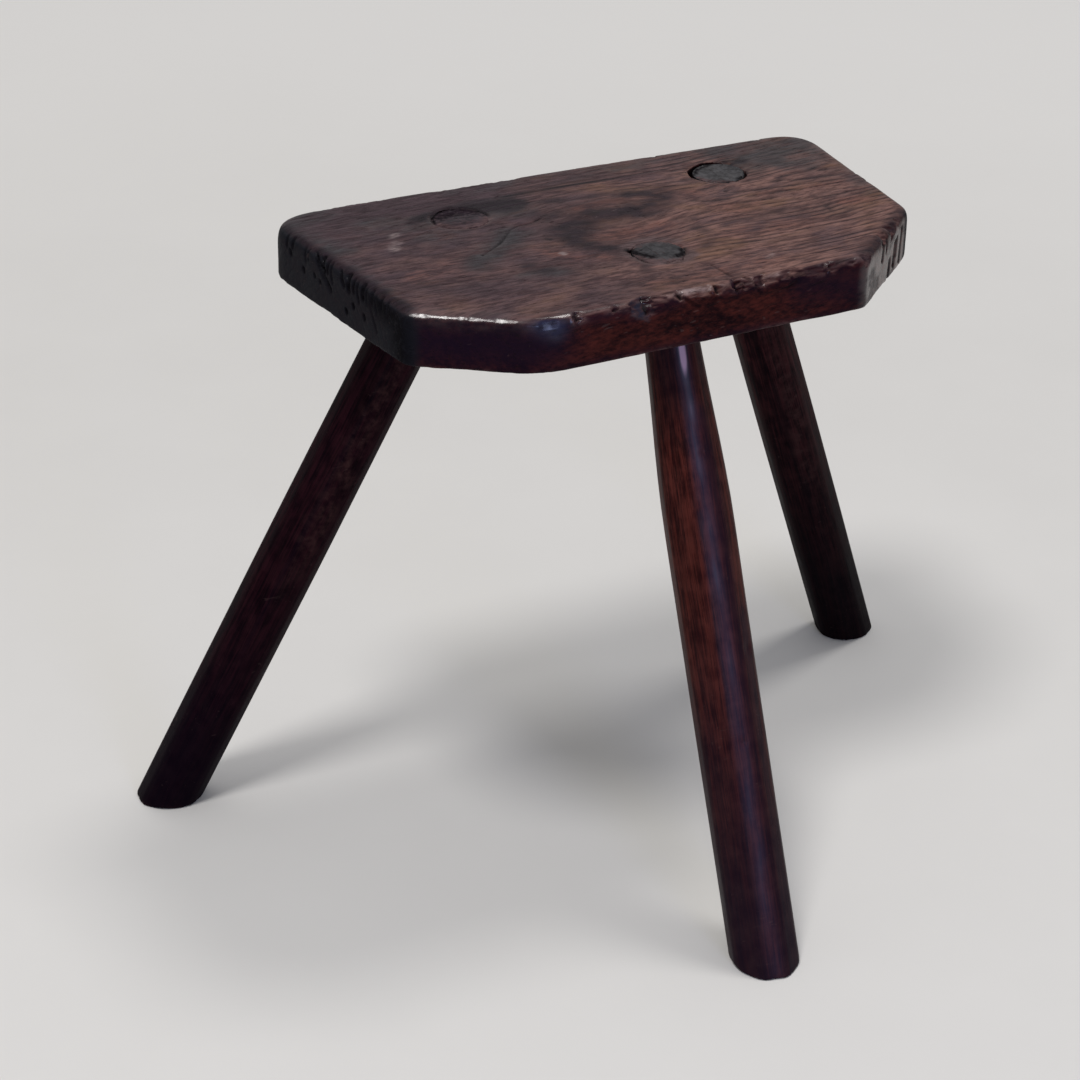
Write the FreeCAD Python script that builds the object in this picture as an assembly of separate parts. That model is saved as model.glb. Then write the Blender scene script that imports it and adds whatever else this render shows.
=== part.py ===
import FreeCAD, Part
import math
import os
from FreeCAD import Vector

# Milking stool: a thick plank seat on three splayed legs, shaved to eight sides. Each leg ends in
# a round tenon that goes right through the seat, is sawn down the middle and is spread by a wedge
# driven in from above. Millimetres, +Z up, +X along the long rear edge, +Y towards the rear.

# Seat plank, hand cut: its two ends differ a little
seat_height = 360.0                # top face above the floor
seat_thickness = 30.0
seat_depth = 183.0                 # from the front edge to the middle of the rear edge
rear_left_reach = 168.5            # of the rear edge, from the middle
rear_right_reach = 166.5
rear_edge_skew = 1.6               # degrees out of parallel with the front edge
left_corner_reach = 153.0          # of the corners where the ends meet the cut-off corners
right_corner_reach = 154.5
left_corner_setback = 39.0         # of the same corners, from the front edge
right_corner_setback = 49.5
front_left_reach = 97.5            # of the front edge, from the middle
front_right_reach = 95.0
rear_left_corner_radius = 17.0
rear_right_corner_radius = 20.0
left_end_corner_radius = 7.0
right_end_corner_radius = 10.0
front_left_corner_radius = 14.0
front_right_corner_radius = 7.0
top_arris_radius = 4.5             # worn round by use
arris_corner_share = 0.9           # most of a corner's radius that the worn arris may take
bottom_arris_chamfer = 1.5

# Where the tenons come up through the seat
left_tenon_reach = 72.8            # from the middle of the seat
right_tenon_reach = 86.0
rear_tenon_setback = 44.5          # in from the rear edge
front_tenon_setback = 54.0         # in from the front edge

# How the legs lean, in degrees from upright
rear_left_splay = 23.9             # outwards
rear_left_rake = 10.1              # backwards
rear_right_splay = 22.3
rear_right_rake = 8.6
front_rake = 21.7                  # forwards

# Legs, measured across the flats of the octagon
rear_leg_width = 34.8
front_leg_width = 37.0
rear_taper_length = 220.0          # from the seat down to the full width
front_taper_length = 115.0
leg_arris_radius = 6.0             # the shaved edges are worn soft
foot_arris_radius = 2.2
rear_left_turn = -10.0             # of the flats about the leg, in degrees
rear_right_turn = -5.0
front_turn = -14.0

# Joint between leg and seat
tenon_diameter = 28.0
tenon_clearance = 0.1              # all round, in the mortise
rear_shoulder = 2.6                # ledge of the leg round the tenon
front_shoulder = 0.4
end_recess = 0.4                   # end grain of tenon and wedge, below the seat's top
kerf_width = 1.8                   # saw cut down the tenon
kerf_stop = 6.0                    # tenon left whole under the saw cut
kerf_relief = 2.0                  # saw cut left open under the wedge
wedge_head = 4.6                   # thickness at the seat's top
wedge_clearance = 0.05             # each side, in the saw cut

# Eight-sided section, and how many steps of it a leg is drawn through
side_count = 8
side_angle = 2 * math.pi / side_count
leg_section_steps = 12

# How nearly level an edge is to count as lying at a height
height_tolerance = 0.01

underside = seat_height - seat_thickness
tenon_radius = tenon_diameter / 2
mortise_radius = tenon_radius + tenon_clearance


def rounded_outline(corners, radii):
    """Closed wire of straight sides joined by tangent arcs."""
    arcs = []
    for i, corner in enumerate(corners):
        to_last = (corners[i - 1] - corner).normalize()
        to_next = (corners[(i + 1) % len(corners)] - corner).normalize()
        half_angle = to_last.getAngle(to_next) / 2
        reach = radii[i] / math.tan(half_angle)
        crown = radii[i] / math.sin(half_angle) - radii[i]
        start = corner + to_last * reach
        middle = corner + (to_last + to_next).normalize() * crown
        end = corner + to_next * reach
        arcs.append((start, middle, end))
    edges = []
    for i, (start, middle, end) in enumerate(arcs):
        edges.append(Part.LineSegment(arcs[i - 1][2], start).toShape())
        edges.append(Part.Arc(start, middle, end).toShape())
    return Part.Wire(edges)


def seat_outline():
    """Half-hexagon plank with its front edge on the X axis."""
    skew = math.tan(math.radians(rear_edge_skew))
    corners = [
        Vector(rear_right_reach, seat_depth - rear_right_reach * skew),
        Vector(-rear_left_reach, seat_depth + rear_left_reach * skew),
        Vector(-left_corner_reach, left_corner_setback),
        Vector(-front_left_reach, 0),
        Vector(front_right_reach, 0),
        Vector(right_corner_reach, right_corner_setback),
    ]
    radii = [
        rear_right_corner_radius,
        rear_left_corner_radius,
        left_end_corner_radius,
        front_left_corner_radius,
        front_right_corner_radius,
        right_end_corner_radius,
    ]
    return rounded_outline(corners, radii), min(radii)


def edges_at_height(shape, height):
    """The edges that lie all along at one height."""
    found = []
    for edge in shape.Edges:
        box = edge.BoundBox
        if abs(box.ZMin - height) < height_tolerance and abs(box.ZMax - height) < height_tolerance:
            found.append(edge)
    return found


def make_seat(legs):
    outline, tightest_corner = seat_outline()
    plank = Part.Face(outline).extrude(Vector(0, 0, seat_thickness))
    plank.translate(Vector(0, 0, underside))
    # The worn arris is never rounder than the tightest corner that it runs round
    arris = min(top_arris_radius, arris_corner_share * tightest_corner, seat_thickness / 2)
    plank = plank.makeFillet(arris, edges_at_height(plank, seat_height))
    plank = plank.makeChamfer(bottom_arris_chamfer, edges_at_height(plank, underside))
    for leg in legs:
        plank = plank.cut(leg.mortise())
    return plank


def slab(low, high):
    """All the space between two heights, wide enough for the whole stool."""
    reach = 4 * (seat_height + rear_left_reach + rear_right_reach)
    corner = Vector(-reach / 2, -reach / 2, low)
    return Part.makeBox(reach, reach, high - low, corner)


class Leg:
    """A leg, its tenon and its wedge, drawn upright with the tenon's end at the origin."""

    def __init__(self, tenon_x, tenon_y, lean_x, lean_y, width, shoulder, taper, turn):
        self.top = Vector(tenon_x, tenon_y, seat_height)
        run = Vector(math.tan(math.radians(lean_x)), math.tan(math.radians(lean_y)), 0)
        up = (Vector(0, 0, 1) - run).normalize()
        along_grain = (Vector(1, 0, 0) - up * up.x).normalize()
        across_grain = up.cross(along_grain)
        rotation = FreeCAD.Rotation(along_grain, across_grain, up, "ZXY")
        self.placement = FreeCAD.Placement(self.top, rotation)
        self.length = seat_height / up.z
        self.tenon_length = seat_thickness / up.z
        self.kerf_depth = self.tenon_length - kerf_stop
        self.wedge_length = self.kerf_depth - kerf_relief
        self.width = width
        self.shoulder_width = tenon_diameter + 2 * shoulder
        self.taper = taper
        self.turn = math.radians(turn)

    def placed(self, shape):
        shape.Placement = self.placement
        return shape

    def upright_cylinder(self, radius, low, high):
        return Part.makeCylinder(radius, high - low, Vector(0, 0, low))

    def mortise(self):
        overrun = tenon_diameter
        return self.placed(self.upright_cylinder(mortise_radius, -self.tenon_length - overrun, overrun))

    def section(self, depth, width):
        """Octagon with soft arrises, square to the leg."""
        corner_distance = width / 2 / math.cos(side_angle / 2)
        corners = []
        for i in range(side_count):
            angle = self.turn + (i + 0.5) * side_angle
            corners.append(Vector(math.cos(angle), math.sin(angle)) * corner_distance)
        outline = rounded_outline(corners, [leg_arris_radius] * side_count)
        outline.translate(Vector(0, 0, -depth))
        return outline

    def width_at(self, depth):
        """Across the flats: from the shoulder it swells in a soft S to the full width."""
        share = min(max((depth - self.tenon_length) / self.taper, 0), 1)
        ease = share * share * (3 - 2 * share)
        return self.shoulder_width + (self.width - self.shoulder_width) * ease

    def body(self):
        """Eight-sided leg, drawn in towards the seat, flat on the floor and under the seat."""
        first = self.tenon_length - self.width
        step = (self.length + self.width - first) / leg_section_steps
        sections = []
        for i in range(leg_section_steps + 1):
            depth = first + i * step
            sections.append(self.section(depth, self.width_at(depth)))
        blank = self.placed(Part.makeLoft(sections, True, False))
        cut = blank.common(slab(0, underside)).Solids[0]
        return cut.makeFillet(foot_arris_radius, edges_at_height(cut, 0))

    def wedge_blank(self, slack):
        """Tapered slip across the tenon, carried on past the seat's top to be cut off level."""
        tip = kerf_width / 2 + slack
        head = wedge_head / 2 + slack
        overrun = tenon_diameter
        over_head = head + (head - tip) * overrun / self.wedge_length
        points = [
            Vector(-over_head, -tenon_diameter, overrun),
            Vector(-tip, -tenon_diameter, -self.wedge_length),
            Vector(tip, -tenon_diameter, -self.wedge_length),
            Vector(over_head, -tenon_diameter, overrun),
        ]
        profile = Part.Face(Part.makePolygon(points + points[:1]))
        return profile.extrude(Vector(0, 2 * tenon_diameter, 0))

    def kerf(self):
        """Saw cut down the middle of the tenon."""
        half_width = kerf_width / 2 + wedge_clearance
        corner = Vector(-half_width, -tenon_diameter, -self.kerf_depth)
        return Part.makeBox(2 * half_width, 2 * tenon_diameter, self.kerf_depth, corner)

    def make_leg(self):
        root = -self.tenon_length - tenon_radius
        tenon = self.upright_cylinder(tenon_radius, root, tenon_diameter)
        tenon = tenon.cut(self.kerf()).cut(self.wedge_blank(wedge_clearance))
        tenon = self.placed(tenon).common(slab(0, seat_height - end_recess))
        return self.body().fuse(tenon).removeSplitter()

    def make_wedge(self):
        across = self.upright_cylinder(tenon_radius, -self.tenon_length, tenon_diameter)
        wedge = self.wedge_blank(0).common(across)
        return self.placed(wedge).common(slab(0, seat_height - end_recess))


def make_legs():
    rear_line = seat_depth - rear_tenon_setback
    rear = (rear_leg_width, rear_shoulder, rear_taper_length)
    front = (front_leg_width, front_shoulder, front_taper_length)
    return {
        "rear_left": Leg(
            -left_tenon_reach, rear_line, -rear_left_splay, rear_left_rake, *rear, rear_left_turn),
        "rear_right": Leg(
            right_tenon_reach, rear_line, rear_right_splay, rear_right_rake, *rear, rear_right_turn),
        "front": Leg(
            0, front_tenon_setback, 0, -front_rake, *front, front_turn),
    }


def make_stool():
    legs = make_legs()
    pieces = {"seat": make_seat(legs.values())}
    for place, leg in legs.items():
        pieces["leg_" + place] = leg.make_leg()
        pieces["wedge_" + place] = leg.make_wedge()
    return pieces


def centred_on_floor(pieces):
    """Moves the stool so that the origin is under the middle of its box, on the floor."""
    box = Part.makeCompound(list(pieces.values())).optimalBoundingBox()
    for piece in pieces.values():
        piece.translate(Vector(-box.Center.x, -box.Center.y, -box.ZMin))
    return pieces


os.makedirs("parts", exist_ok=True)
for node, piece in centred_on_floor(make_stool()).items():
    box = piece.optimalBoundingBox()
    print(node, piece.ShapeType, len(piece.Solids), piece.isValid(), round(piece.Volume),
          [round(v, 2) for v in (box.XMin, box.XMax, box.YMin, box.YMax, box.ZMin, box.ZMax)])
    piece.exportStep("parts/" + node + ".step")
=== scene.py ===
import math
import random

import bmesh
import bpy
import numpy as np
from mathutils import Euler, Matrix, Vector, noise


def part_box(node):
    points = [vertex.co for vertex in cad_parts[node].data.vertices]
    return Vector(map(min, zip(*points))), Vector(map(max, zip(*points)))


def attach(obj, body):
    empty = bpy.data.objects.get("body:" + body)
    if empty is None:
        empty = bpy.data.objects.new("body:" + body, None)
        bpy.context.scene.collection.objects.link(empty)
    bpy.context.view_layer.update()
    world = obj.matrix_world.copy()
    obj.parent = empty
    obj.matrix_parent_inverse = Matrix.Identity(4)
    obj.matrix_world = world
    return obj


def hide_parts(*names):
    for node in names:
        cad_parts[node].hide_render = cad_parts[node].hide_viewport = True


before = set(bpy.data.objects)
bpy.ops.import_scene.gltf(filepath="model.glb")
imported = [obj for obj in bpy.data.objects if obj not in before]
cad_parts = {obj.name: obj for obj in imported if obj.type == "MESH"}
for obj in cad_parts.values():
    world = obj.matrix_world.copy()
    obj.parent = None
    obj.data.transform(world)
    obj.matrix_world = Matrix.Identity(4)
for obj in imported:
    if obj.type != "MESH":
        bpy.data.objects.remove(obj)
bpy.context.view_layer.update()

mm = 0.001
seatLow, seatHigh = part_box("seat")
wedgeLow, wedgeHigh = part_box("wedge_front")
seatMiddle = (wedgeLow.x + wedgeHigh.x) / 2  # the front tenon stands on the seat's middle line
seatFront = seatLow.y
seatTop = seatHigh.z
seatUnder = seatLow.z


# Small helpers for working as by hand

def makeActive(piece):
    bpy.ops.object.select_all(action="DESELECT")
    piece.select_set(True)
    bpy.context.view_layer.objects.active = piece


def startEdit(piece):
    makeActive(piece)
    bpy.ops.object.mode_set(mode="EDIT")
    bpy.ops.mesh.select_mode(type="FACE")
    bpy.ops.mesh.select_all(action="DESELECT")


def endEdit():
    bpy.ops.object.mode_set(mode="OBJECT")


def pick(piece, kind, test):
    bpy.ops.mesh.select_all(action="DESELECT")
    mesh = bmesh.from_edit_mesh(piece.data)
    for part in getattr(mesh, kind):
        if test(part):
            part.select_set(True)
    bmesh.update_edit_mesh(piece.data)


def bevelEdges(piece, test, width, steps, clamp=False):
    bpy.ops.mesh.select_mode(type="EDGE")
    pick(piece, "edges", test)
    bpy.ops.mesh.bevel(offset=width, segments=steps, clamp_overlap=clamp)


def cutAway(point, outward):
    bpy.ops.mesh.select_all(action="SELECT")
    bpy.ops.mesh.bisect(plane_co=point, plane_no=outward, use_fill=True, clear_outer=True)


def useModifier(piece, kind, **settings):
    makeActive(piece)
    modifier = piece.modifiers.new(kind.lower(), kind)
    for name, value in settings.items():
        setattr(modifier, name, value)
    bpy.ops.object.modifier_apply(modifier=modifier.name)


def combine(piece, tool, operation):
    useModifier(piece, "BOOLEAN", operation=operation, solver="EXACT", object=tool)
    bpy.data.objects.remove(tool)


def remesh(piece, voxel):
    useModifier(piece, "REMESH", mode="VOXEL", voxel_size=voxel * mm)


def applyPlace(piece):
    makeActive(piece)
    bpy.ops.object.transform_apply()


def addTube(radius, depth, place=Matrix()):
    bpy.ops.mesh.primitive_cylinder_add(vertices=64, radius=radius, depth=depth, location=(0, 0, 0))
    tube = bpy.context.object
    tube.matrix_world = place
    applyPlace(tube)
    return tube


def addBlock(place, size):
    bpy.ops.mesh.primitive_cube_add(size=1, location=place, scale=size)
    block = bpy.context.object
    applyPlace(block)
    startEdit(block)
    return block


def getPoints(piece, what="co"):
    values = np.empty(len(piece.data.vertices) * 3)
    piece.data.vertices.foreach_get(what, values)
    return values.reshape(-1, 3)


def getShape(piece):
    return getPoints(piece), getPoints(piece, "normal")


def setPoints(piece, points):
    piece.data.vertices.foreach_set("co", points.ravel())
    piece.data.update()


def setWithin(piece, points, low, high):
    setPoints(piece, np.clip(points, np.array(low), np.array(high)))


def lumps(points, size, seed):
    places = points / (np.array(size) * mm) + seed
    return np.array([noise.noise(Vector(place)) for place in places])


def ease(value, low, high):
    share = np.clip((value - low) / (high - low), 0, 1)
    return share * share * (3 - 2 * share)


def inMetres(line):
    return [np.array(spot) * mm for spot in line]


def onTop(line):
    return [np.array((x * mm, y * mm, seatTop)) for x, y in line]


def distanceToLine(points, line):
    best = np.full(len(points), 1e9)
    for start, end in zip(line, line[1:]):
        along = end - start
        share = np.clip(((points - start) @ along) / max(along @ along, 1e-12), 0, 1)
        best = np.minimum(best, np.linalg.norm(points - start - share[:, None] * along, axis=1))
    return best


def nearLine(points, line, reach):
    return np.exp(-(distanceToLine(points, line) / (reach * mm)) ** 2)


def strokes(points, rows, place):
    return np.max([strength * nearLine(points, place(line), reach) for reach, strength, *line in rows], 0)


def paint(piece, name, values):
    layer = piece.data.attributes.get(name) or piece.data.attributes.new(name, "FLOAT", "POINT")
    layer.data.foreach_set("value", np.clip(values, 0, 1).astype(np.float32))


def makeAverage(piece):
    size = len(piece.data.vertices)
    ends = np.empty(len(piece.data.edges) * 2, np.int32)
    piece.data.edges.foreach_get("vertices", ends)
    first, second = ends.reshape(-1, 2).T
    count = np.maximum(np.bincount(first, minlength=size) + np.bincount(second, minlength=size), 1)

    def average(values):
        return (np.bincount(first, values[second], size) + np.bincount(second, values[first], size)) / count

    return average


def curvature(piece, steps):
    points, normals = getShape(piece)
    average = makeAverage(piece)
    smooth = points.T
    for turn in range(steps):
        smooth = [average(axis) for axis in smooth]
    bulge = np.einsum("ij,ij->i", points - np.stack(smooth, 1), normals) / mm
    for turn in range(2):
        bulge = 0.5 * bulge + 0.5 * average(bulge)
    return bulge


def soften(piece, weight, turns):
    points = getPoints(piece)
    average = makeAverage(piece)
    for turn in range(turns):
        middle = np.stack([average(axis) for axis in points.T], 1)
        points = points + 0.5 * weight[:, None] * (middle - points)
    setPoints(piece, points)


# Seat: a plank cut to a half hexagon

seatShape = {
    "corners": [  # from the middle and the front edge, and the radius
        (166.5, 178.35, 20), (-168.5, 187.7, 22), (-153, 39, 7), (-97.5, 0, 45), (95, 0, 7),
        (154.5, 49.5, 10),
    ],
    "margin": 8, "topArris": 5.6, "underArris": 1.5, "voxel": 0.85, "triangles": 192000,
    "softenTurns": 110, "nickSeed": 8, "frontEdge": -55.7,
    "leftEnd": [(-169.2, 132), (-153.7, -16.7)],
    "rightEnd": [(153.8, -6.2), (165.8, 122.6)],
    "rightSlant": [(94.3, -55.7), (153.8, -6.2)],
    "leftSlope": 0.1042,  # of the left end
    "chips": [  # along the front edge: place, lean, half width, back, drop, tilt, how dark
        (-77, 0.1, 1.5, 4.4, 6.6, 0.25, 0.6), (-54, 0, 1.7, 3.9, 4.8, -0.3, 0.5),
        (-41, 0.05, 4.8, 5.2, 8.8, 0.2, 1), (-37, -0.2, 2.6, 6.2, 7, -0.3, 0.6),
        (-29, 0.1, 4.5, 4.2, 5.2, -0.15, -0.3), (-18.5, 0.25, 2.2, 5, 5, 0.25, -0.8),
        (-6, 0, 6.5, 4.7, 4.6, 0.05, -0.8), (6, -0.15, 3.2, 4.2, 5, -0.2, -0.3),
        (15.5, 0.2, 2, 5.6, 6.8, 0.35, 0.8), (22, 0, 3.4, 4.4, 5.6, -0.2, 0.3),
        (28.5, -0.25, 2.4, 5.4, 6.4, 0.3, 0.6), (36, 0.1, 4.4, 4.4, 4.8, -0.12, -0.4),
        (45, -0.1, 3, 4.5, 4.8, 0.2, 0.4), (53, 0.15, 3.6, 4.2, 4.6, -0.15, -0.3),
        (63, 0, 6.5, 4.2, 5.6, 0.06, 0.5), (75, -0.1, 4.2, 4, 5, -0.12, 0.4), (85, 0.1, 3, 4, 4.6, 0.12, 0.3),
    ],
    "nicks": [  # small knocks along an edge: two ends, way out, how many, size
        ((99, -51.8), (152, -7.7), (0.64, -0.77), 5, 1),
        ((164.2, 105), (154.8, 5), (1, -0.09), 5, 0.8),
        ((-140, 131.2), (145, 123.2), (0.03, 1), 9, 0.9),
    ],
    "flats": [  # edges worn flat: two ends, way out, depth, how uneven
        ((-151, -18.5), (-99, -54), (-0.41, -0.527, 0.743), 0.32, 1),
        ((-100, -54.5), (-80, -55.7), (-0.25, -0.7, 0.67), 0.35, 0.5),
        ((-96, -55), (-80, -55.7), (-0.222, -0.907, 0.351), 0.7, 0.25),
        ((-150, 131), (-96, 129.5), (0, 0.6, 0.8), 0.8, 1),
        ((-70, 129), (-20, 127.5), (0, 0.5, 0.86), 0.7, 1),
        ((10, 127), (120, 124), (0, 0.64, 0.77), 0.6, 1),
    ],
    "softened": [  # edges worn round: reach, how much, line on the top
        (12, 1, (-166, 108), (-162, 122), (-146, 130)), (7, 0.3, (-166, 108), (-154, -16)),
        (6, 0.25, (-146, 131), (150, 123)), (10, 0.4, (150, 122), (163, 108), (158, 60)),
        (6.5, 0.4, (95, -55), (152, -8)),
    ],
    "gashes": [  # width, depth, line on a face
        (1.1, 2.6, (-161.6, 76, 360), (-162.4, 65, 351.5), (-161.5, 56.5, 344.5)),
        (0.9, 1.5, (-161, 71, 360), (-162, 62.5, 353)), (1, 2.2, (-159.2, 50, 360), (-160, 42.5, 352)),
        (0.9, 1.5, (-158.6, 44, 360), (-159.5, 38, 354.5)),
        (1, 1.3, (-165.9, 99.2, 351.2), (-165.8, 98.4, 349.6)),
        (1, 1.2, (-164.4, 85, 346.2), (-164.3, 84.4, 345)),
        (0.9, 1.1, (-163.2, 73.4, 347), (-163.1, 73, 346.2)),
        (0.9, 1.1, (-162.6, 67.6, 345.4), (-162.5, 67.2, 344.6)),
        (1, 1.2, (-159.7, 40.6, 339.6), (-159.6, 40, 338.4)),
        (1, 1.2, (-159, 33.6, 344.8), (-158.9, 33, 343.6)),
        (1, 1.1, (-157.8, 22.6, 343), (-157.7, 22, 341.6)), (0.8, 0.5, (-157.2, 17, 352), (-156.5, 10, 339)),
        (1.7, 2.6, (135.4, -21.6, 347), (134.2, -22.6, 336.5)),
        (0.9, 1, (137.6, -19.8, 350), (136.8, -20.4, 340)),
        (1.4, 1.6, (117.8, -36.2, 357), (116.8, -37, 347)),
        (1.4, 1.8, (128.2, -27.6, 341), (127, -28.6, 331)),
        (1.2, 1.4, (144, -14.6, 352), (142.6, -15.6, 334)),
        (0.8, 0.9, (122.6, -32.4, 359), (121.8, -33, 349)),
        (0.8, 0.6, (-17.8, -55.7, 359), (-12, -55.7, 354), (-6.6, -55.7, 350.3)),
        (0.8, 0.5, (52, -55.7, 354.6), (45.9, -55.7, 351)),
        (0.7, 0.3, (15, -30, 360), (16.6, -45, 360), (17.4, -55, 358)),
        (0.8, 0.7, (22, -50, 360), (26, -54.6, 358.4), (28.5, -55.7, 353)),
    ],
    "notches": [  # under the left edge: how far back, width, depth, length
        (104, 1, 0.8, 3), (97.5, 1.1, 0.9, 2), (84, 0.8, 0.6, 5), (80.5, 0.7, 0.5, 3), (66, 1.3, 1.5, 6),
        (60.5, 0.9, 0.9, 3), (57, 0.8, 0.7, 7), (39.5, 1.3, 1.6, 5), (34, 0.9, 0.9, 4), (30.5, 0.8, 0.8, 8),
        (25, 1.2, 1.3, 4), (21.5, 0.8, 0.7, 6), (16, 1, 1, 4), (12, 0.7, 0.6, 7), (6.5, 0.9, 0.9, 3),
        (0.5, 0.8, 0.6, 5),
    ],
    "blackCorner": [(-157.5, 12, 357), (-154.5, -11, 352), (-154.2, -13.5, 336)],
    "blueGlint": [(-96, -54, 358), (-88, -55.7, 354)],
    "knot": (-2, 52),
    "shake": [(-86, 32), (-77, 38), (-70, 43), (-63, 50.5), (-57, 57.5), (-51, 60.5), (-43, 61), (-36, 64)],
}


def fromMiddle(x, y):
    return Vector((seatMiddle + x * mm, seatFront + y * mm, seatTop))


def makePlank():
    margin = seatShape["margin"] * mm
    size = seatHigh - seatLow
    place = (seatLow + seatHigh) / 2
    place.y += margin / 2
    plank = addBlock(place, (size.x + 2 * margin, size.y + margin, size.z))
    corners = [fromMiddle(x, y) for x, y, radius in seatShape["corners"]]
    sides = [after - corner for corner, after in zip(corners, corners[1:] + corners[:1])]
    for corner, side in zip(corners, sides):
        if abs(side.y) > mm:  # the front edge is the block's own
            cutAway(corner, Vector((side.y, -side.x, 0)))
    for number, corner in enumerate(corners):
        angle = sides[number].angle(-sides[number - 1])
        setback = seatShape["corners"][number][2] * mm / math.tan(angle / 2)
        bevelEdges(
            plank, lambda edge: all((vert.co.xy - corner.xy).length < mm for vert in edge.verts), setback, 7)
    for height, arris, steps in ((seatTop, "topArris", 5), (seatUnder, "underArris", 2)):
        bevelEdges(
            plank, lambda edge: all(abs(vert.co.z - height) < 0.01 * mm for vert in edge.verts),
            seatShape[arris] * mm, steps)
    endEdit()
    return plank


def listChips():
    chips = [((x, seatShape["frontEdge"]), (lean, -1), *rest) for x, lean, *rest in seatShape["chips"]]
    chance = random.Random(seatShape["nickSeed"])
    for first, last, out, count, size in seatShape["nicks"]:
        for number in range(count):
            share = (number + chance.uniform(0.1, 0.9)) / count
            place = [start + (end - start) * share for start, end in zip(first, last)]
            width = chance.choice((3.5, 5, 7, 10))
            back = size * chance.uniform(3.4, 4.8)
            drop = back * chance.uniform(0.9, 1.3)
            tilt = chance.uniform(-0.25, 0.25)
            chips.append((place, out, width, back, drop, tilt, chance.uniform(-0.5, 0.2)))
    return chips


def listGashes():
    gashes = list(seatShape["gashes"])
    endX, endY = seatShape["leftEnd"][0]
    for back, width, depth, length in seatShape["notches"]:
        edge = endX + seatShape["leftSlope"] * (endY - back)
        line = [(edge + 2.2, back + 0.6, 359.2), (edge + 0.9, back, 357.6)]
        gashes.append((width, depth, *line, (edge, back - 0.35 * length, 356 - length)))
    return gashes


def chipFrame(place, out, back, drop, tilt):
    outward = np.array((out[0], out[1], 0)) / math.hypot(*out)
    along = np.array((-outward[1], outward[0], 0))
    start = np.array((place[0] * mm, place[1] * mm, seatTop)) - outward * back * mm
    facing = (outward * drop + np.array((0, 0, back))) / math.hypot(back, drop) + tilt * along
    return start, along, facing / np.linalg.norm(facing)


def chipAway(points, chip, seed):
    place, out, halfWidth, back, drop, tilt, tone = chip
    start, along, facing = chipFrame(place, out, back, drop, tilt)
    near = np.nonzero(np.linalg.norm(points - start, axis=1) < (halfWidth + 14) * mm)[0]
    spots = points[near]
    across = (spots - start) @ along / mm + 1.6 * lumps(spots, (2.6, 2.6, 2.6), seed)
    over = (spots - start) @ facing / mm
    over = over + 0.45 * lumps(spots, (6, 1.5, 1.5), seed + 5)  # split along the grain
    over = np.clip(over, 0, None) * (np.abs(across) < halfWidth)
    points[near] = spots - over[:, None] * facing * mm
    return points


seatChips = listChips()
seatGashes = listGashes()


# Legs: shaved to eight sides, with a round tenon sawn for its wedge

legBlanks = {  # across the flats, and from the seat down to the full width
    "rear": {"width": 34.8, "shoulder": 33.2, "taper": 220, "length": 400},
    "front": {"width": 37, "shoulder": 28.8, "taper": 115, "length": 392},
}
# Gaps round a tenon: way, shift, radius, how ragged
# Painted sheens, painted shades and painted lit facets along a leg: from, to, angle, spread, strength
# Dents: how far down, angle, radius, depth
legShapes = {
    "rear_left": {
        "blank": "rear", "tenon": (-72.8, 138.5), "lean": (-23.9, 10.1), "turn": -10, "seed": 3.7,
        "gaps": [(125, 1.3, 13.6, 0.06)], "torn": 0.04, "darkBelow": 150, "paintedSheens": [],
        "shades": [(36, 300, 236, 5, 0.6)], "litFacets": [(48, 225, 256, 24, 0.9)],
        "dents": [(190, 200, 3, 0.5), (250, 230, 2.2, 0.4), (330, 215, 3.5, 0.6)],
    },
    "rear_right": {
        "blank": "rear", "tenon": (86, 138.5), "lean": (22.3, 8.6), "turn": -5, "seed": 11.3,
        "gaps": [(110, 2.4, 14.3, 0.07), (-52, 1.5, 13.7, 0.09)], "torn": 0.1, "darkBelow": 260, "paintedSheens": [],
        "shades": [(60, 190, 230, 5, 0.7), (150, 330, 243, 7, 0.8)], "litFacets": [(36, 240, 268, 20, 0.75)],
        "dents": [(150, 260, 2.5, 0.5), (280, 240, 3, 0.5)],
    },
    "front": {
        "blank": "front", "tenon": (0, 54), "lean": (0, -21.7), "turn": -14, "seed": 23.1,
        "gaps": [(195, 1.3, 13.5, 0.2)], "torn": 0.2, "darkBelow": 215,
        "paintedSheens": [(30, 95, 260, 13, 1.2), (84, 395, 258, 13, 0.7)], "litFacets": [],
        "shades": [(20, 78, 225, 34, 0.9), (80, 370, 281, 14, 0.85), (190, 370, 300, 20, 0.85)],
        "dents": [(106, 268, 1.6, 0.6), (133, 240, 2.6, 0.5), (262, 262, 2.4, 0.7), (214, 300, 3.5, 0.6)],
    },
}
legFinish = {"shoulderDepth": 33, "sectionStep": 16, "arris": 3.1, "footArris": 1.6, "voxel": 0.9}
joint = {
    "tenonRadius": 13.95, "boreRadius": 13.2,  # a driven fit: the tenon's rim is squeezed under the seat's
    "endRecess": 0.45, "kerfStop": 6, "kerfRelief": 2, "kerfRoom": -0.5,
    "wedgeTip": 1.8, "wedgeHead": 4.6, "wedgeVoxel": 0.45,
}


def legPlace(leg):
    run = Vector([math.tan(math.radians(lean)) for lean in leg["lean"]] + [0])
    upward = (Vector((0, 0, 1)) - run).normalized()
    along = (Vector((1, 0, 0)) - upward * upward.x).normalized()
    across = upward.cross(along)
    place = Matrix((along, across, upward)).transposed().to_4x4()
    place.translation = fromMiddle(*leg["tenon"])
    return place


def blankWidth(shape, depth):
    share = min(max((depth - legFinish["shoulderDepth"]) / shape["taper"], 0), 1)
    return shape["shoulder"] + (shape["width"] - shape["shoulder"]) * share * share * (3 - 2 * share)


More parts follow.
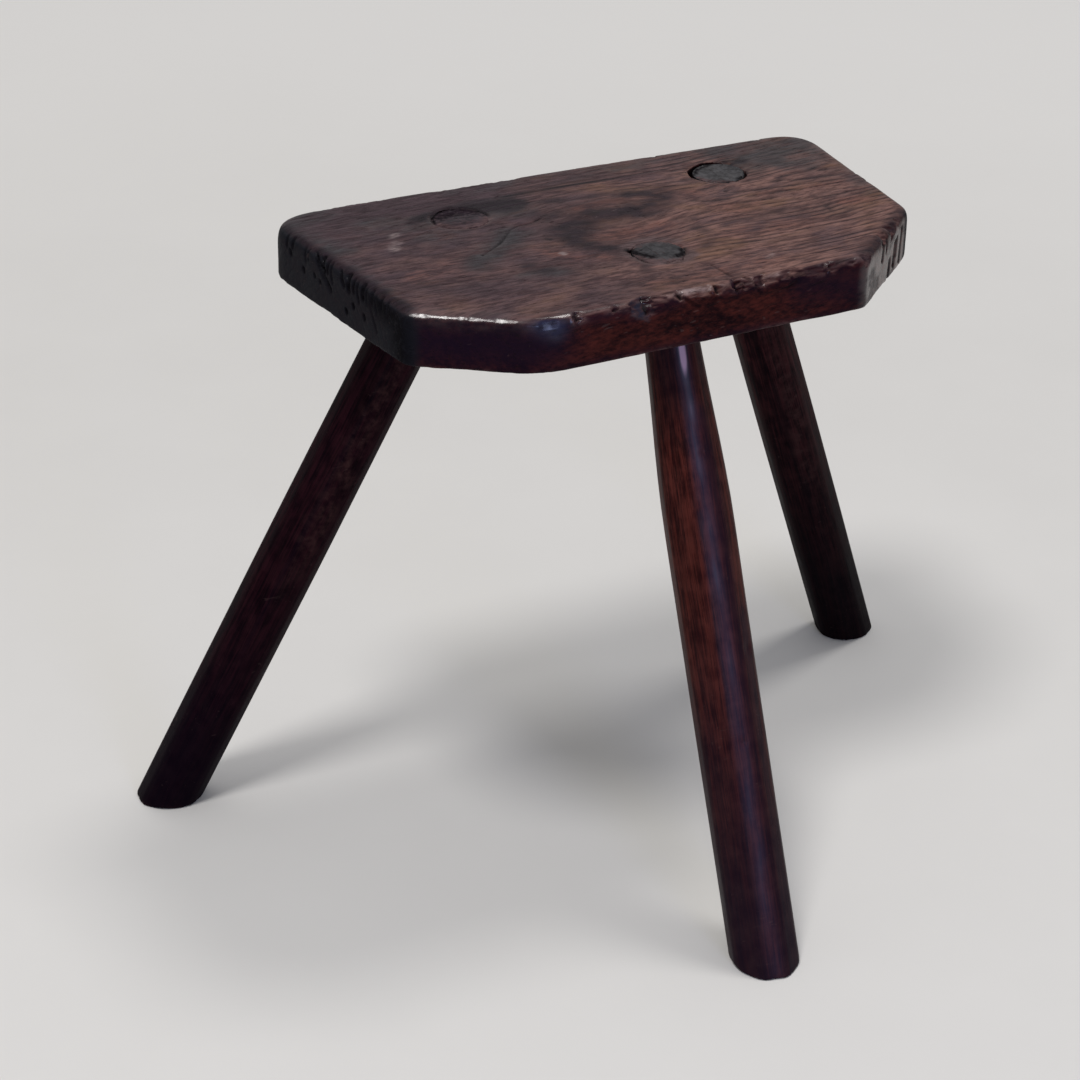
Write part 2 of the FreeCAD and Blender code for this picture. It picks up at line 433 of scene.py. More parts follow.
def makeLegBlank(shape):
    depth = shape["length"] + 30
    width = blankWidth(shape, depth)
    bpy.ops.mesh.primitive_circle_add(
        vertices=8, radius=width / 2 / math.cos(math.pi / 8) * mm, fill_type="NGON",
        location=(0, 0, -depth * mm), rotation=(0, 0, math.pi / 8))
    blank = bpy.context.object
    applyPlace(blank)
    startEdit(blank)
    bpy.ops.mesh.select_all(action="SELECT")
    rise = legFinish["sectionStep"]
    while depth > rise:
        bpy.ops.mesh.extrude_region_move(TRANSFORM_OT_translate={"value": (0, 0, rise * mm)})
        depth -= rise
        share = blankWidth(shape, depth) / width
        bpy.ops.transform.resize(value=(share, share, 1), center_override=(0, 0, -depth * mm))
        width = blankWidth(shape, depth)
    bpy.ops.mesh.select_all(action="SELECT")
    bpy.ops.mesh.normals_make_consistent()
    bevelEdges(
        blank, lambda edge: abs(edge.verts[0].co.z - edge.verts[1].co.z) > mm, legFinish["arris"] * mm, 4)
    endEdit()
    return blank


def levelPlane(place, height):
    inverse = place.inverted()
    point = inverse @ Vector((place.translation.x, place.translation.y, height))
    return point, (inverse.to_3x3() @ Vector((0, 0, 1))).normalized()


def endPlane(place):
    return levelPlane(place, seatTop - joint["endRecess"] * mm)


def cutEnd(piece, place):
    startEdit(piece)
    cutAway(*endPlane(place))
    endEdit()


def makeWedgeBlank(place, room):
    length = (seatTop - seatUnder) / place[2][2] - (joint["kerfStop"] + joint["kerfRelief"]) * mm
    overrun = 20 * mm
    tip = (joint["wedgeTip"] + 2 * room) * mm
    head = (joint["wedgeHead"] + 2 * room) * mm
    overHead = head + (head - tip) * overrun / length
    blank = addBlock((0, 0, (overrun - length) / 2), (tip, 40 * mm, length + overrun))
    pick(blank, "faces", lambda face: face.normal.z > 0.9)
    bpy.ops.transform.resize(value=(overHead / tip, 1, 1))
    endEdit()
    return blank


def makeTenon(place):
    length = (seatTop - seatUnder) / place[2][2]
    tenon = addTube(joint["tenonRadius"] * mm, length + 40 * mm, Matrix.Translation((0, 0, -length / 2)))
    cutEnd(tenon, place)
    return tenon


def makeLeg(name, leg, pattern):
    place = legPlace(leg)
    makeActive(pattern)
    bpy.ops.object.duplicate()
    blank = bpy.context.object
    blank.rotation_euler = (0, 0, math.radians(leg["turn"]))
    applyPlace(blank)
    startEdit(blank)
    foot, upward = levelPlane(place, 0.05 * mm)
    cutAway(foot, -upward)
    cutAway(*levelPlane(place, seatUnder - 0.2 * mm))
    bevelEdges(
        blank, lambda edge: all(abs((vert.co - foot) @ upward) < 0.05 * mm for vert in edge.verts),
        legFinish["footArris"] * mm, 2, True)
    endEdit()
    tenon = makeTenon(place)
    makeActive(blank)
    tenon.select_set(True)
    bpy.ops.object.join()
    remesh(blank, legFinish["voxel"])
    blank.name = "leg." + name
    return blank


def tornEnd(points, leg):
    return leg["torn"] * (1 + lumps(points, (3, 3, 40), leg["seed"] + 2))


def alongLeg(points, rows):
    around = np.degrees(np.arctan2(points[:, 1], points[:, 0]))
    depth = -points[:, 2] / mm
    total = np.zeros(len(points))
    for start, end, angle, halfAngle, strength in rows:
        away = (around - angle + 180) % 360 - 180
        within = ease(depth, start - 8, start + 8) * ease(depth, end + 30, end - 30)
        total = np.maximum(total, strength * within * np.exp(-(away / halfAngle) ** 2))
    return total


def workLeg(piece, leg):
    points, normals = getShape(piece)
    seed = leg["seed"]
    place = legPlace(leg)
    top, upward = [np.array(part) for part in endPlane(place)]
    endFace = ease(normals @ upward, 0.75, 0.95) * ease(-points[:, 2], 12 * mm, 4 * mm)
    shaft = ease(-points[:, 2], 30 * mm, 38 * mm)
    worn = ease(curvature(piece, 5), 0.06, 0.4)
    angle = np.arctan2(points[:, 1], points[:, 0]) - math.radians(leg["turn"])
    across = (angle + math.pi / 8) % (math.pi / 4) - math.pi / 8  # from the middle of a flat
    across = np.hypot(points[:, 0], points[:, 1]) * np.sin(across) / mm
    move = -0.3 * (across / 7) ** 2 * shaft  # the flats are a little crowned
    move -= 0.16 * (1 + lumps(points, (13, 13, 95), seed)) * shaft  # long shavings
    move -= 0.04 * (1 + lumps(points, (9, 9, 40), seed + 9)) * shaft
    move -= worn * shaft * 0.8 * np.clip(lumps(points, (12, 12, 34), seed + 4) + 0.2, 0, 1)
    move -= worn * 0.35 * np.clip(lumps(points, (5, 5, 7), seed + 6), 0, 1)
    for depth, angle, radius, hollow in leg["dents"]:
        width = blankWidth(legBlanks[leg["blank"]], depth) / 2
        angle = math.radians(angle)
        spot = np.array((math.cos(angle) * width, math.sin(angle) * width, -depth)) * mm
        move -= hollow * np.exp(-(np.linalg.norm(points - spot, axis=1) / (radius * mm)) ** 2)
    move -= endFace * tornEnd(points, leg)
    setPoints(piece, points + normals * move[:, None] * mm)
    bulge = curvature(piece, 4)
    paint(piece, "edge", ease(bulge, 0.05, 0.3) * shaft)
    # hollows are darkened, for grime and painted shade
    paint(piece, "hollow", ease(-bulge, 0.06, 0.35) * shaft)
    paint(piece, "endGrain", ease((top - points) @ upward / mm, 1.9, 1.2))
    height = (np.array(place) @ np.c_[points, np.ones(len(points))].T)[2] / mm
    height += 26 * lumps(points, (14, 14, 60), seed + 8)
    shadeAndDark = np.maximum(ease(height, leg["darkBelow"], 15), 0.7 * ease(height, 285, 335))  # darker towards the foot, and painted shade under the seat
    # painted sheen, painted shade and painted lit facets along the leg
    paintedSheen = alongLeg(points, leg["paintedSheens"])
    shadeAndDark = np.maximum(shadeAndDark * (1 - paintedSheen), alongLeg(points, leg["shades"]))
    paint(piece, "shadeAndDark", np.maximum(shadeAndDark, 1 - shaft))
    paint(piece, "paintedSheen", paintedSheen * (0.85 + 0.4 * lumps(points, (6, 6, 22), seed + 5)))
    paint(piece, "litFacet", alongLeg(points, leg["litFacets"]))
    combine(piece, makeWedgeBlank(place, joint["kerfRoom"]), "DIFFERENCE")


def makeWedge(name, leg):
    place = legPlace(leg)
    wedge = makeWedgeBlank(place, 0)
    combine(wedge, addTube((joint["tenonRadius"] - 0.2) * mm, 120 * mm), "INTERSECT")
    cutEnd(wedge, place)
    remesh(wedge, joint["wedgeVoxel"])
    points, normals = getShape(wedge)
    endFace = ease(normals @ np.array(endPlane(place)[1]), 0.75, 0.95)
    move = endFace * (0.03 - tornEnd(points, leg))  # dressed off with the tenon
    move -= 0.03 * (1 - endFace) * (1 + lumps(points, (2, 2, 12), leg["seed"] + 1))
    setPoints(wedge, points + normals * move[:, None] * mm)
    wedge.name = "wedge." + name
    return wedge


def putInPlace(piece, leg, node):
    piece.matrix_world = legPlace(leg)
    applyPlace(piece)
    setWithin(piece, getPoints(piece), *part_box(node))
    paintTop(piece)


# Seat surfaces: wear, tool marks, splits and old stains, with painted shade and painted highlights

seatMarks = {  # strokes on the top: half width, strength, line
    "dark": [
        (11, 0.8, (44, 68), (36, 61), (25, 55), (8, 51)),
        (13, 1.2, (12, 52), (-4, 54.5), (-16, 52), (-25, 45)),
        (10, 0.85, (-24, 46), (-34, 38), (-34, 27), (-26, 16), (-17, 9)),
        (17, 0.48, (-30, 62), (0, 70), (36, 68)),
        (4.5, 0.6, (-25, 85), (0, 81), (15, 79), (28, 73), (38, 64)),
        (7.5, 0.9, (24, 75), (34, 70), (41, 61)), (4, 0.8, (98, 95), (107, 92)),
        (6, 0.65, (-72, 7), (-66, 3)), (8, 1.35, (-66, 94), (-56, 92), (-46, 90), (-38, 89)),
        (5, 1.1, (-100, 88), (-90, 94), (-72, 98)), (5, 0.9, (-86, 90), (-72, 92), (-62, 92)),
        (4.5, 0.5, (33, 18), (36, 12)), (2.2, 0.55, (112, 62), (130, 63), (151, 69)),
        (1.6, 0.5, (60, 52), (90, 50), (120, 54), (150, 52)), (1.8, 0.45, (116, 36), (114, 20), (112, 6)),
        (2, 0.55, (80, 19), (86, 19), (92, 23)), (2, 0.55, (-90, 101), (-30, 101), (20, 99), (60, 97)),
        (1.8, 0.4, (-150, 108), (-100, 109), (-40, 108)), (2.2, 0.7, (-45, 37), (-44, 36)),
        (2, 0.5, (-38, -34), (-33, -31), (-28, -32)), (1.6, 0.4, (-105, 12), (-104, -6)),
        (5, 1.15, (-166, 114), (-160.5, 70), (-156, 30), (-150.5, -12)),
        (2.2, 0.6, (-150, -19), (-126, -36), (-102, -51)), (5, 0.4, (20, -10), (30, -2)),
        (6, 1, (98, -52), (125, -30), (153, -8)), (2.8, 0.8, (56, -54.5), (94, -54.5)),
        (4, 0.5, (-14, -13), (-20, -24)),
    ],
    "grey": [
        (10, 0.9, (-92, 24), (-80, 31), (-66, 44), (-58, 52)), (12, 1, (104, 90), (122, 86), (136, 76)),
        (12, 0.8, (-118, 92), (-96, 88), (-74, 90)), (9, 1.2, (-76, 93), (-56, 91), (-40, 89)),
        (12, 0.9, (-80, 86), (-58, 85), (-42, 85)), (16, 0.9, (112, 98), (150, 96)),
        (14, 0.75, (-165, 112), (-156, 70)), (5, 0.5, (-156, 66), (-149, 0)),
        (15, 0.75, (100, 112), (156, 104)), (9, 0.4, (-60, 116), (90, 112)),
        (12, 0.7, (-160, 118), (-140, 122)), (9, 0.55, (-75, 2), (-62, -2)),
        (9, 0.45, (146, 100), (152, 60), (150, 20)), (8, 0.8, (103, 88), (110, 82)),
        (12, 0.4, (-100, 66), (-84, 72)),
    ],
    "orange": [
        (3.6, 0.9, (-12, 68), (0, 70), (10, 71), (16, 69)), (8, 0.6, (-18, 26), (0, 28), (18, 30)),
        (6, 0.6, (-56, 26), (-46, 12), (-30, 4)), (8, 0.5, (46, 72), (58, 62)),
        (10, 0.45, (60, 34), (80, 30)), (6.5, 0.7, (126, 16), (140, 12)), (8, 0.4, (44, 4), (100, 0)),
        (9, 0.4, (-20, -40), (50, -38)), (10, 0.3, (-130, 20), (-100, 30)), (5, 0.4, (90, 46), (140, 42)),
    ],
    "black": [
        (1.2, 1.1, (-89, 84), (-87, 90), (-83, 94), (-78.7, 96.4), (-72, 97)),
        (1.6, 0.8, (-95, 88), (-93, 90)), (1.6, 1.2, (-61.5, 90), (-59.5, 86), (-58.5, 82)),
        (1.2, 0.6, (-62, 96), (-58, 97)), (1.5, 1, (71.5, 85), (77, 92), (88, 95.8), (98, 97), (105, 95)),
        (1.4, 1, (90, 70.5), (97, 73), (101, 79)), (2.3, 1.3, (-14, 7), (-11.5, 0), (-7, -6.5)),
        (1, 0.7, (-10, 3), (-6, 4)), (1.1, 0.8, (-10.5, -2), (-5, -4)),
        (2.2, 1.2, (6, -11), (10, -9), (13, -4)), (0.9, 0.9, *seatShape["shake"]),
        (0.8, 0.7, (-40, 100.5), (-10, 100.8), (20, 99.5), (35, 99)),
        (0.9, 0.6, (114, 62.5), (132, 63.5), (150, 69)), (0.8, 0.55, (15, -30), (16.6, -46)),
        (0.6, 0.45, (114.5, 34), (113, 18), (111.5, 7)), (0.8, 0.5, (80, 19.5), (92, 23)),
        (0.8, 0.5, (56, 45), (80, 47), (100, 49), (125, 47.5), (149, 44.5)),
        (0.9, 0.6, (-37, -34), (-33, -31), (-29, -31.5)), (1.1, 0.8, (-46, 37.5), (-44, 36)),
        (0.6, 0.35, (20, 31), (44, 36), (60, 38)),
    ],
    "brown": [
        (4, 1, (-13, 9), (-7, 12.5), (1, 14), (9, 12), (14, 7)),
        (4.2, 1.2, (-17, 3), (-14, -6), (-9, -13), (0, -17), (9, -16), (14, -11)),
        (3, 0.9, (71, 80), (76, 72), (84, 68.5)),
        (3.2, 0.9, (-87.5, 79), (-83, 72), (-73.5, 69), (-64.5, 72), (-60.5, 77)),
    ],
    "pale": [
        (3.8, 0.62, (-124, 60), (-120, 66)), (2.4, 0.65, (-118, 74), (-115, 77)),
        (1.3, 1.3, (-47, 15), (-47, 17)), (2.4, 0.35, (47, -34), (51, -31)),
        (1.6, 0.6, (-34, -54.5), (-23, -54)), (2.2, 1, (-13, -53), (0, -53)),
        (2, 0.9, (-20, -54), (-17, -53)), (1.5, 0.5, (0, -54), (8, -54)), (1.8, 0.7, (26, -54), (46, -53)),
        (1.3, 0.45, (50, -54), (64, -53.5)), (1.6, 0.4, (66, -53), (90, -53)),
        (1.3, 0.45, (-72, -55), (-46, -54.5)),
    ],
}

seatShadeAndDark = [  # strokes on the sides, painted shade on the front-left chamfer and darker bands along the front: half width, strength, line
    (18, 1, (-150, -21, 345), (-128, -36, 345), (-104, -52, 345), (-94, -55, 347)),
    (5, 0.8, (-92, -55.7, 356), (-60, -55.7, 357), (-20, -55.7, 358)),
    (3.5, 0.6, (-90, -55.7, 331), (0, -55.7, 331), (95, -55.7, 331)),
    (13, 0.8, (58, -55.7, 352), (74, -55.7, 348), (92, -55.7, 344)),
    (4, 0.6, (-46, -55.7, 353), (-20, -55.7, 356)), (3, 0.5, (8, -55.7, 356), (50, -55.7, 356)),
]


def nearestTenon(points):
    middles = [np.array(legPlace(leg).translation) for leg in legShapes.values()]
    return np.min([np.linalg.norm((points - middle)[:, :2], axis=1) for middle in middles], axis=0)


def wearFlat(points, edge, out, depth, uneven):
    out = out / np.linalg.norm(out)
    length = np.linalg.norm(edge[1] - edge[0])
    share = ((points - edge[0]) @ ((edge[1] - edge[0]) / length)) / length
    within = ease(share, -0.12, 0.06) * ease(share, 1.12, 0.94)
    near = distanceToLine(points, edge) < 14 * mm
    rise = (points - edge[0]) @ out
    steps = np.linspace(-0.1, 1.1, 25)
    crown = [rise[near & (np.abs(share - step) < 0.1)].max() for step in steps]  # follows the worn edge
    waves = 0.7 * lumps(points, (6, 6, 6), 3.3) + 0.5 * lumps(points, (2.2, 2.2, 2.2), 6.1)
    over = rise - np.interp(share, steps, crown) + (1 + uneven * waves) * depth * mm * within
    over = np.clip(over, 0, None) * (near & (within > 0))
    return points - over[:, None] * out


def workSeat(seat):
    points = getPoints(seat)
    weight = strokes(points, seatShape["softened"], onTop)
    weight = weight * ease(points[:, 2], seatUnder + 8 * mm, seatTop - 6 * mm)
    soften(seat, weight, seatShape["softenTurns"])
    points, normals = getShape(seat)
    upper = ease(normals[:, 2], 0.55, 0.9)
    side = 1 - np.abs(normals[:, 2])
    worn = ease(curvature(seat, 6), 0.05, 0.5)
    level = ease(nearestTenon(points), 36 * mm, 17 * mm)  # dished to the tenons' ends
    move = -0.2 * (1 + lumps(points, (90, 17, 60), 4.1)) * upper * (1 - level)  # hollows worn by sitting
    move -= 0.5 * level * upper
    move -= 0.16 * (1 + lumps(points, (34, 9, 9), 8.7)) * side  # hewing marks on the edges
    move -= worn * 0.9 * np.clip(lumps(points, (21, 21, 30), 1.3) + 0.25, 0, 1)
    move -= worn * 0.5 * np.clip(lumps(points, (6, 6, 9), 5.9) + 0.1, 0, 1)
    for width, depth, *line in seatGashes:
        move -= depth * nearLine(points, inMetres(line), width)
    move -= 0.5 * nearLine(points, onTop(seatShape["shake"]), 0.8)
    move += 0.05 * lumps(points, (5, 1.6, 1.6), 2.2) - 0.05
    points = points + normals * move[:, None] * mm
    for first, last, out, depth, uneven in seatShape["flats"]:
        points = wearFlat(points, onTop([first, last]), np.array(out), depth, uneven)
    for number, chip in enumerate(seatChips):
        points = chipAway(points, chip, number * 3.1)
    setWithin(seat, points, seatLow, seatHigh)


def paintTop(piece):
    points, normals = getShape(piece)
    for name, rows in seatMarks.items():
        paint(piece, name, strokes(points, rows, onTop) * ease(normals[:, 2], 0.1, 0.5))


def inFrom(points, first, last):
    along = Vector(last) - Vector(first)
    inward = np.array((-along.y, along.x)) / along.length
    return (points[:, :2] / mm - np.array(first)) @ inward


def paintSeat(seat):
    paintTop(seat)
    points, normals = getShape(seat)
    upward = normals[:, 2]
    shadeAndDark = strokes(points, seatShadeAndDark, inMetres) * ease(upward, 0.85, 0.3)
    # the corner at the left end's front is painted black from the top edge down, with the dark insides of the
    # cuts
    cutsAndCorner = 0.9 * nearLine(points, inMetres(seatShape["blackCorner"]), 8) * ease(upward, 0.7, 0.3)
    for width, depth, *line in seatGashes:
        away = distanceToLine(points, inMetres(line))
        cutsAndCorner = np.maximum(cutsAndCorner, min(depth / 1.2, 1) * ease(away, 2 * width * mm, 1.1 * width * mm))
    bulge = curvature(seat, 4)
    edge = ease(bulge, 0.04, 0.3)
    chipShade = np.zeros(len(points))
    for place, out, halfWidth, back, drop, tilt, tone in seatChips:
        start, along, facing = chipFrame(place, out, back, drop, tilt)
        across = np.abs((points - start) @ along) / mm
        off = np.abs((points - start) @ facing) / mm
        inside = ease(across, halfWidth + 1, halfWidth - 0.4) * ease(off, 1, 0.4)
        inside *= ease(normals @ facing, 0.75, 0.9)
        inside *= np.linalg.norm(points - start, axis=1) < (halfWidth + 12) * mm
        # inside the chips: painted blue-black shade in the deepest chip, painted shade in the darker ones, a
        # pale scuff where the tone is below zero
        if tone > 0.9:
            chipShade = np.maximum(chipShade, inside)
        elif tone > 0:
            shadeAndDark = np.maximum(shadeAndDark, tone * inside)
        else:
            edge = np.maximum(edge, -tone * inside)
    paint(seat, "shadeAndDark", shadeAndDark)
    paint(seat, "chipShade", chipShade)
    ends = np.maximum(*[ease(inFrom(points, *seatShape[end]), 8, 3) for end in ("leftEnd", "rightEnd")])
    ends *= np.maximum(ease(upward, 0.8, 0.35), ease(points[:, 2], seatTop - 1.2 * mm, seatTop - 3 * mm))
    paint(seat, "endGrain", ends)
    dull = ease(points[:, 0], -142 * mm, -152 * mm) * ease(points[:, 1], -15 * mm, -9 * mm)
    shiny = (1 - ends) * (1 - dull)  # no shine by the left end
    paint(seat, "edge", edge * shiny)
    tenonAway = nearestTenon(points)
    # Grime and painted shade: the walls of the bores are painted black, and what is sunk away from the tenons
    # is darkened
    bore = (tenonAway < 34 * mm) & (np.abs(upward) < 0.55) & (points[:, 1] > -35 * mm)
    bore &= points[:, 2] < seatTop - 1.3 * mm
    sunk = np.where(bore, 1, ease(-bulge, 0.05, 0.35) * (tenonAway >= 18 * mm))
    paint(seat, "hollow", np.maximum(sunk, cutsAndCorner))
    gloss = np.maximum(0.5 * chipShade, 0.2 * ease(bulge, 0.08, 0.35))
    for first, last, out, depth, uneven in seatShape["flats"][:3]:
        gloss = np.maximum(gloss, nearLine(points, onTop([first, last]), 5))
    glint = inMetres(seatShape["blueGlint"])
    gloss = np.maximum(gloss, 0.9 * nearLine(points, glint, 5))
    slant = ease(inFrom(points, *seatShape["rightSlant"]), 4, 1.5) * ease(upward, 0.6, 0.2)
    paint(seat, "gloss", np.maximum(gloss, 0.75 * slant) * shiny)
    # painted blue highlight at the front-left corner, below the top edge
    paint(seat, "paintedBlueGlint", nearLine(points, glint, 6) * ease(upward, 0.9, 0.6))
    x, y = points[:, 0] / mm, points[:, 1] / mm
    knotX, knotY = seatShape["knot"]
    close = np.exp(-((x - knotX) / 36) ** 2 - ((y - knotY) / 30) ** 2)
    bend = -0.8 * (y - knotY) * close  # the grain runs round the knot
    bend -= 0.0006 * np.clip(x - 35, 0, None) ** 2
    bend += 2.2 * lumps(points, (60, 30, 60), 12.3)
    paint(seat, "bend", 0.5 + bend / 60)
    paint(seat, "topside", ease(upward, 0.35, 0.85))


def thinOut(seat):
    group = seat.vertex_groups.new(name="underside")
    low = np.nonzero(getPoints(seat)[:, 2] < seatUnder + 0.6 * mm)[0]
    group.add(low.tolist(), 1, "REPLACE")
    share = 0.88 * len(low) / len(seat.data.vertices)  # the flat underside needs few faces
    useModifier(seat, "DECIMATE", ratio=1 - share, vertex_group="underside", vertex_group_factor=10)
    seat.vertex_groups.clear()
    triangles = sum(len(face.vertices) - 2 for face in seat.data.polygons)
    useModifier(seat, "DECIMATE", ratio=seatShape["triangles"] / triangles)


def makeSeat():
    seat = makePlank()
    for leg in legShapes.values():
        place = legPlace(leg)
        combine(seat, addTube(joint["boreRadius"] * mm, 160 * mm, place), "DIFFERENCE")
        for number, (way, shift, radius, ragged) in enumerate(leg["gaps"]):
            mouth = addTube(radius * mm, 14 * mm)
            points = getPoints(mouth)
            points[:, :2] *= (1 + ragged * lumps(points, (3.2, 3.2, 400), leg["seed"] + number))[:, None]
            setPoints(mouth, points)
            way = math.radians(way)
            aside = Vector((math.cos(way), math.sin(way), 0)) * shift * mm
            mouth.matrix_world = place @ Matrix.Translation(aside)
            applyPlace(mouth)
            combine(seat, mouth, "DIFFERENCE")
    remesh(seat, seatShape["voxel"])
    workSeat(seat)
    thinOut(seat)
    paintSeat(seat)
    seat.name = "seat.plank"
    return seat


seat = makeSeat()
print("seat:", len(seat.data.polygons), "faces")

blanks = {name: makeLegBlank(shape) for name, shape in legBlanks.items()}
legs = {}
wedges = {}
for name, leg in legShapes.items():
    piece = makeLeg(name, leg, blanks[leg["blank"]])
    workLeg(piece, leg)
    putInPlace(piece, leg, "leg_" + name)
    wedge = makeWedge(name, leg)
    putInPlace(wedge, leg, "wedge_" + name)
    paint(wedge, "endGrain", ease(getPoints(wedge)[:, 2], seatTop - 2.5 * mm, seatTop - 1.8 * mm))
    print("leg and wedge:", name, len(piece.data.polygons), len(wedge.data.polygons), "faces")
    legs[name], wedges[name] = piece, wedge
for blank in blanks.values():
    bpy.data.objects.remove(blank)


# Materials: a wire is a node's output that can be added, taken away and multiplied

class Wire:
    def __init__(self, tree, socket):
        self.tree = tree
        self.socket = socket

    def __add__(self, other):
        return sums("ADD", self, other)

    def __sub__(self, other):
        return sums("SUBTRACT", self, other)

    def __mul__(self, other):
        return sums("MULTIPLY", self, other)

    def clamped(self):
        self.socket.node.use_clamp = True
        return self


def wires(tree, sockets):
    return {socket.name: Wire(tree, socket) for socket in sockets}


def setInputs(node, inputs):
    for name, value in inputs.items():
        if isinstance(value, Wire):
            value.tree.links.new(value.socket, node.inputs[name])
        else:
            node.inputs[name].default_value = value


def addNode(tree, kind, inputs, output=0, **settings):
    node = tree.nodes.new("ShaderNode" + kind)
    for name, value in settings.items():
        setattr(node, name, value)
    setInputs(node, inputs)
    return Wire(tree, node.outputs[output])


def sums(operation, first, second=0):
    return addNode(first.tree, "Math", {0: first, 1: second}, operation=operation)


def vectorSums(operation, inputs, output=0):
    return addNode(inputs[0].tree, "VectorMath", inputs, output, operation=operation)


def mix(factor, first, second):
    first, second = [tint if isinstance(tint, Wire) else (*tint, 1) for tint in (first, second)]
    return addNode(factor.tree, "Mix", {0: factor, 6: first, 7: second}, 2, data_type="RGBA")


def cover(base, layers):
    for mask, tint in layers:
        base = mix(mask, base, tint)
    return base


def dimmed(tint, share):
    return [share * part for part in tint]


def spread(value, low, high, start=0, end=1):
    inputs = {"Value": value, "From Min": low, "From Max": high, "To Min": start, "To Max": end}
    return addNode(value.tree, "MapRange", inputs, "Result", interpolation_type="SMOOTHSTEP")


def mapped(vector, **inputs):
    return addNode(vector.tree, "Mapping", {"Vector": vector, **inputs})


def grainNoise(vector, stretch, scale, detail=2, rough=0.5):
    inputs = {"Vector": mapped(vector, Scale=stretch), "Scale": scale, "Detail": detail, "Roughness": rough}
    return addNode(vector.tree, "TexNoise", inputs, "Fac")


def layer(tree, name):
    return addNode(tree, "Attribute", {}, "Fac", attribute_name=name)


def openGroup(name, values):
    tree = bpy.data.node_groups.new(name, "ShaderNodeTree")
    tree.interface.new_socket(name="Vector", in_out="INPUT", socket_type="NodeSocketVector")
    for socket, value in values.items():
        made = tree.interface.new_socket(name=socket, in_out="INPUT", socket_type="NodeSocketFloat")
        made.default_value = value
    return tree, wires(tree, tree.nodes.new("NodeGroupInput").outputs)


def closeGroup(tree, results):
    for socket in results:
        tree.interface.new_socket(name=socket, in_out="OUTPUT", socket_type="NodeSocketFloat")
    setInputs(tree.nodes.new("NodeGroupOutput"), results)
    return tree


even = (1, 1, 1)  # noise that isn't drawn out


def makeWoodFigure():
    tree, given = openGroup("wood figure", {"Ring Width": 0.0044, "Wander": 0.006})
    vector = given["Vector"]
    inputs = {"Vector": mapped(vector, Scale=(0.3, 1, 1)), "Scale": 26, "Detail": 3}
    drift = vectorSums("SUBTRACT", {0: addNode(tree, "TexNoise", inputs, "Color"), 1: (0.5, 0.5, 0.5)})
    shift = vectorSums("SCALE", {0: drift, "Scale": given["Wander"]})
    moved = vectorSums("ADD", {0: vector, 1: shift})
    flat = vectorSums("MULTIPLY", {0: moved, 1: (0, 1, 1)})
    radius = vectorSums("LENGTH", {0: flat}, "Value")
    phase = sums("FRACT", sums("DIVIDE", radius, given["Ring Width"]))
    line = spread(phase, 0.35, 0.82) * spread(phase, 0.9, 1, 1, 0)
    broken = grainNoise(moved, (0.12, 1, 1), 260, 3)
    dashes = grainNoise(moved, (0.05, 1, 1), 1300, 2)
    band = spread(phase, 0.45, 0.95)
    return closeGroup(tree, {
        "Ring": line * spread(broken, 0.37, 0.62),
        "Pores": spread(dashes, 0.57, 0.66) * spread(band, 0, 1, 0.3, 1),
        "Fibre": grainNoise(moved, (0.06, 1, 1), 520, 5, 0.62),
        "Bands": grainNoise(moved, (0.08, 1, 1), 70, 2),
    })


def makeWearAndShade():
    tree, given = openGroup("hand wear and shade", {"Edge": 0, "Hollow": 0})
    vector = given["Vector"]
    mottle = grainNoise(vector, even, 45, 4, 0.6)
    patches = grainNoise(vector, even, 95, 3, 0.6)
    fine = grainNoise(vector, even, 420, 3, 0.65)
    first = grainNoise(mapped(vector, Rotation=(0.1, 0.2, 0.5)), (0.04, 1, 1), 520, 1)
    second = grainNoise(mapped(vector, Rotation=(0.3, -0.2, -0.9)), (0.05, 1, 1), 430, 1)
    lines = sums("MAXIMUM", spread(first, 0.7, 0.76), spread(second, 0.71, 0.77))
    return closeGroup(tree, {
        "Scuff": given["Edge"] * spread(patches, 0.45, 0.68) * spread(fine, 0.35, 0.6),
        # grime and painted shade where the hollow layer is painted
        "GrimeAndShade": (given["Hollow"] * spread(fine, 0.2, 0.55)).clamped(),
        "Scratch": lines * spread(mottle, 0.48, 0.6),
        "Mottle": mottle,
        "Polish": patches,
    })


woodFigure = makeWoodFigure()
wearAndShade = makeWearAndShade()


def useGroup(tree, group, inputs):
    return wires(tree, addNode(tree, "Group", inputs, node_tree=group).socket.node.outputs)


def useWearAndShade(tree, vector):
    inputs = {"Vector": vector, "Edge": layer(tree, "edge"), "Hollow": layer(tree, "hollow")}
    return useGroup(tree, wearAndShade, inputs)


def turnTo(vector, place):
    inverse = place.inverted()
    return mapped(vector, Location=inverse.to_translation(), Rotation=inverse.to_euler("XYZ"))


def newMaterial(name):
    material = bpy.data.materials.new(name)
    material.use_nodes = True
    tree = material.node_tree
    return material, tree, tree.nodes["Principled BSDF"], addNode(tree, "TexCoord", {}, "Object")


def finishWood(shader, base, rough, waxed, height, relief):
    bump = addNode(base.tree, "Bump", {"Height": height, **relief})
    setInputs(shader, {"Base Color": base, "Roughness": rough.clamped()})
    setInputs(shader, {"Coat Weight": waxed.clamped(), "Normal": bump})


seatLog = {"heart": (0, 55, 336), "climb": 8, "sweep": -1, "ringWidth": 0.0046, "wander": 0.014}
seatStains = [  # painted layer, colour, how much of it
    ("orange", (0.12, 0.048, 0.037), 0.65),
    ("grey", (0.027, 0.026, 0.029), 0.85),
    ("dark", (0.0112, 0.0064, 0.01), 0.95),
    ("brown", (0.068, 0.043, 0.044), 0.95),
    ("black", (0.004, 0.003, 0.004), 1),
    ("pale", (0.19, 0.148, 0.148), 0.75),
]


